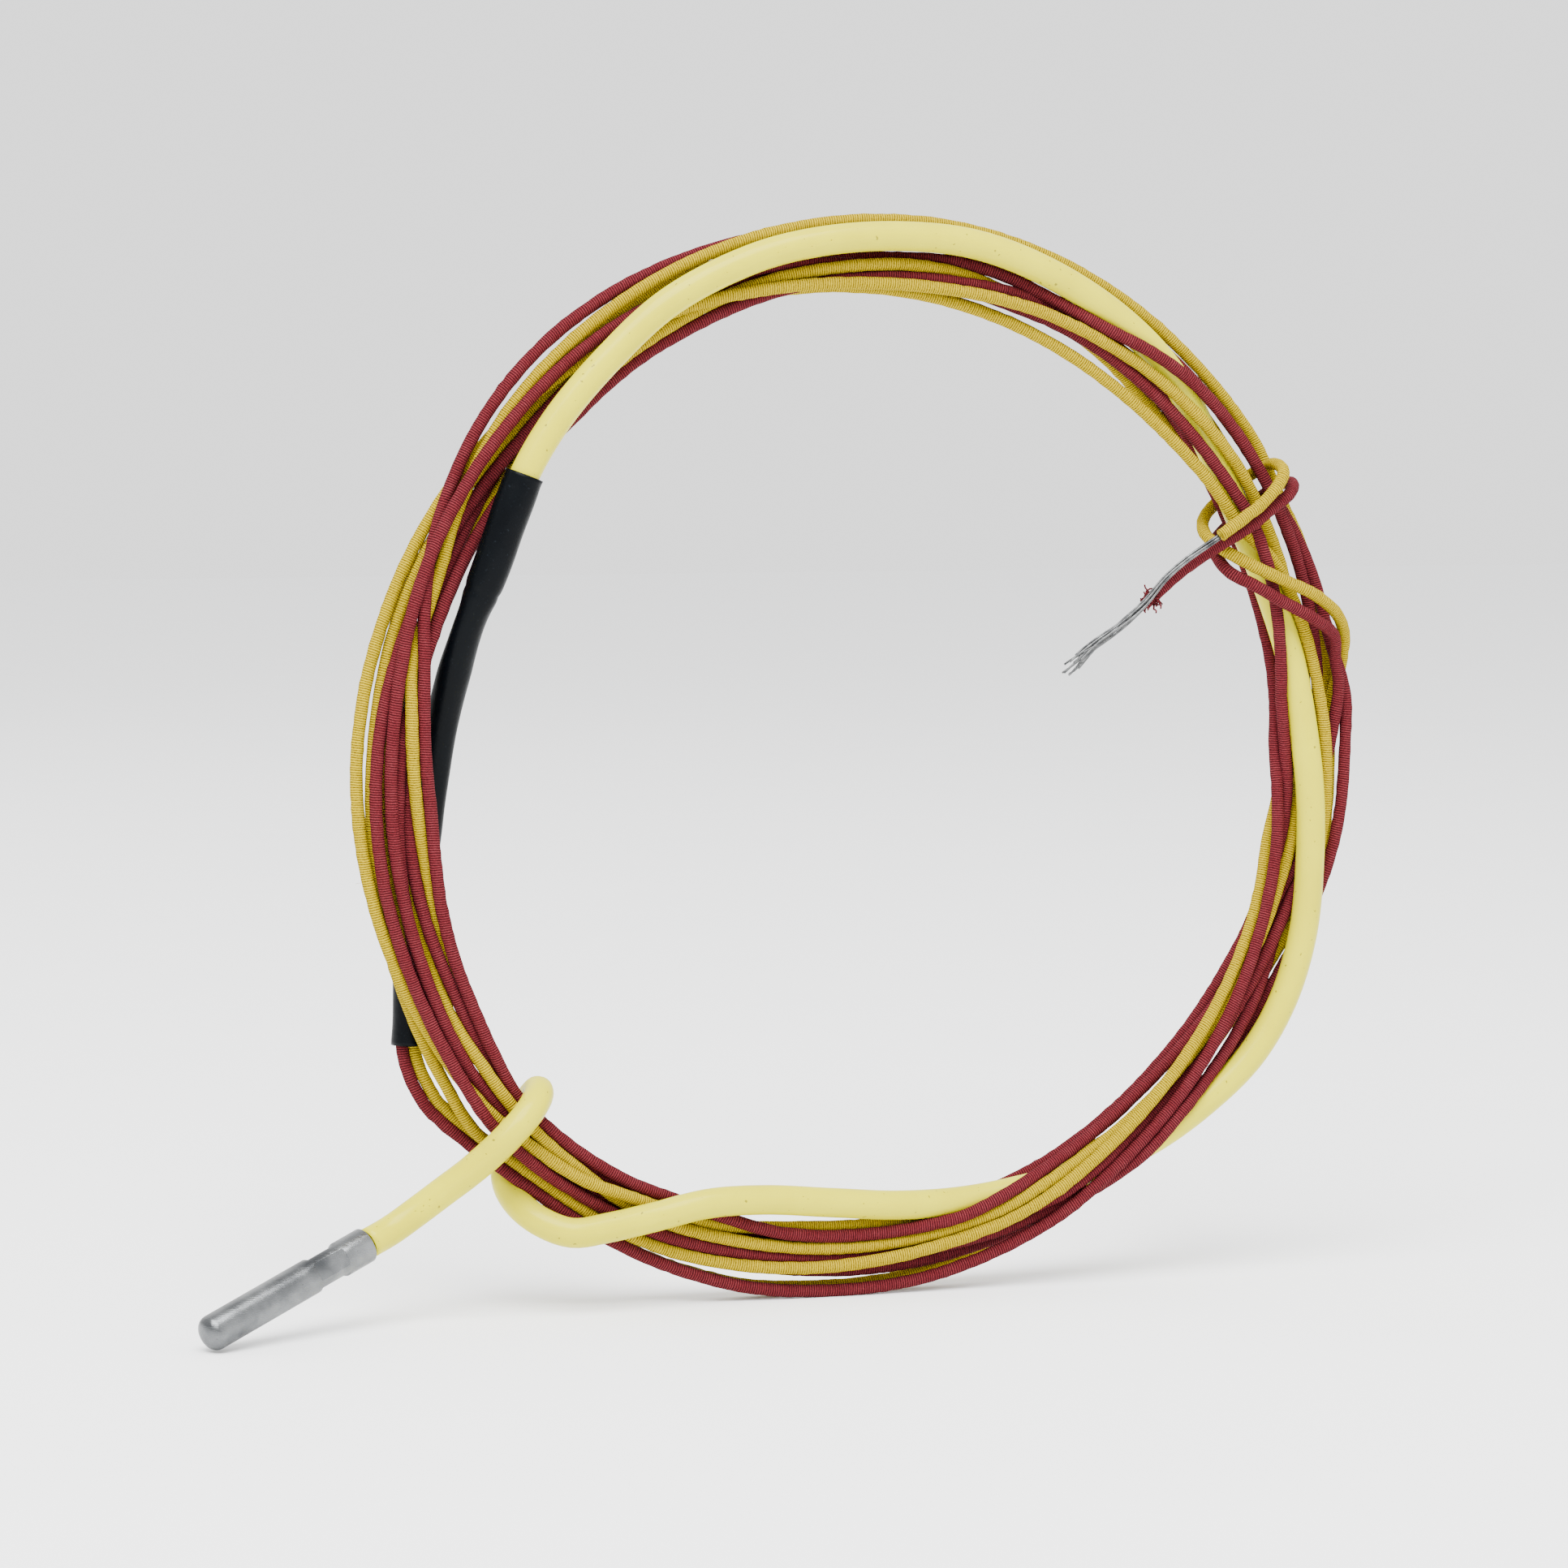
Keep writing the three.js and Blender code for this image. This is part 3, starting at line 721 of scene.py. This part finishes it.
def addStrands(colour, route, seed):
    rng = np.random.default_rng(seed)
    centre = smoothPath(route, 0.5 * mm)
    across, over = sweepFrames(centre)
    share = np.linspace(0, 1, len(centre))
    made = []
    for i in range(strands["count"]):
        angle = 2 * math.pi * i / (strands["count"] - 1) if i else 0.0
        reach = strands["pitch"] if i else 0.0
        turned = angle + share * strands["twist"]
        away = reach * (1 + strands["splay"] * share**2)
        swing = strands["wave"] * share
        sideways = away * np.cos(turned) + swing * np.sin(share * rng.uniform(8, 16) + rng.uniform(0, 6))
        depthways = away * np.sin(turned) + swing * np.sin(share * rng.uniform(8, 16) + rng.uniform(0, 6))
        own = centre + (across * sideways[:, None] + over * depthways[:, None]) * mm
        keep = len(own) - int(rng.integers(0, 5))
        part = tubeParts(own[:keep], strands["diameter"] * mm / 2, strands["sides"])
        made.append(makePiece(f"{colour}Strand{i + 1}", [part], strandWire))
        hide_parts(f"{colour}_strand_{i + 1}")
    return made


yellowStrands = addStrands("yellow", yellowStrandRoute, 21)
redStrands = addStrands("red", redStrandRoute, 22)


# Frayed end of the red cover, and loose fibres on the leads
fray = {
    "hairs": 34, "length": 3.0, "thickness": 0.34, "towardsFront": 1.5, "curl": 0.6,
    "looseHairs": 26, "looseThickness": 0.05, "looseCurl": 0.42,
}


def hair(start, direction, length, thickness, curl, rng):
    points, heading = [start], direction
    for _ in range(6):
        heading = unit(heading + rng.normal(size=3) * curl)
        points.append(points[-1] + heading * length / 6)
    path = smoothPath(np.array(points), length / 14)
    taper = np.linspace(1, 0.7, len(path))[:, None] * np.ones((1, 5))
    return tubeParts(path, taper * thickness / 2, 5)


def addFray():
    rng = np.random.default_rng(31)
    end, heading = redPath[-1], unit(redPath[-1] - redPath[-3])
    across, over = sweepFrames(redPath[-4:])
    parts = []
    for _ in range(fray["hairs"]):
        angle, reach = rng.uniform(0, 2 * math.pi), rng.uniform(0.4, 0.95) * coil["leadDiameter"] * mm / 2
        out = across[-1] * math.cos(angle) + over[-1] * math.sin(angle)
        start = end + out * reach - heading * rng.uniform(0.1, 1.5) * mm
        length = rng.uniform(0.5, 1.0) * fray["length"] * mm
        lean = unit(heading * 0.1 + out * 0.15 + np.array([0.0, -fray["towardsFront"], 0.5]))
        parts.append(hair(start, lean, length, fray["thickness"] * mm, fray["curl"], rng))
    return makePiece("redFray", parts, redTextile)


def addLooseFibres(name, path, material, seed):
    rng = np.random.default_rng(seed)
    parts = []
    for _ in range(fray["looseHairs"]):
        at = int(rng.integers(20, len(path) - 20))
        along = unit(path[at + 1] - path[at - 1])
        out = unit(np.cross(along, rng.normal(size=3)))
        start = path[at] + out * coil["leadDiameter"] * mm * 0.42
        lean, length = unit(along + out), rng.uniform(1.2, 3.2) * mm
        parts.append(hair(start, lean, length, fray["looseThickness"] * mm, fray["looseCurl"], rng))
    return makePiece(name, parts, material)


redFray = addFray()
yellowFibres = addLooseFibres("yellowFibres", yellowPath, yellowTextile, 41)
redFibres = addLooseFibres("redFibres", redPath, redTextile, 42)
print("strands and loose fibre made")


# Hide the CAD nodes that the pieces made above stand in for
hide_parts("probe_sheath")
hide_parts("heat_shrink")
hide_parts("sleeving")
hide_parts("yellow_lead_start", "yellow_lead_tail", "lead_coil")
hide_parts("red_lead_start", "red_lead_tail", "lead_coil")


# Floor and light: each lamp's place, size and power
studio = {
    "floorSize": 6.0, "sky": 1.75,
    "key": ((-0.25, -0.55, 0.95), 0.9, 42.0),
    "fill": ((0.85, -0.75, 0.35), 0.9, 3.0),
    "rim": ((-0.3, 0.9, 0.6), 0.8, 2.0),
}


def addFloor():
    deselectAll()
    bpy.ops.mesh.primitive_plane_add(size=studio["floorSize"], location=(0, 0, 0))
    floor = bpy.context.object
    floor.name = "floor"
    floor.data.transform(Matrix.Translation((0, 0, coil["floor"] * mm)))
    paper = grainMaterial("palePaper", paint(252, 253, 254), paint(255, 255, 255), 30, 0.8)
    floor.data.materials.append(paper)


def addLamp(name, place, size, power):
    data = bpy.data.lights.new(name, "AREA")
    data.size, data.energy = size, power
    lamp = bpy.data.objects.new(name, data)
    bpy.context.scene.collection.objects.link(lamp)
    toCoil = Vector((0, 0, -0.07)) - Vector(place)
    lamp.matrix_world = Matrix.Translation(place) @ toCoil.to_track_quat("-Z", "Y").to_matrix().to_4x4()


addFloor()
for lampName in ("key", "fill", "rim"):
    addLamp(lampName, *studio[lampName])
world = bpy.data.worlds.new("sky")
world.use_nodes = True
world.node_tree.nodes["Background"].inputs[0].default_value = (1, 1, 1, 1)
world.node_tree.nodes["Background"].inputs[1].default_value = studio["sky"]
bpy.context.scene.world = world
print("studio ready")

bpy.context.view_layer.update()
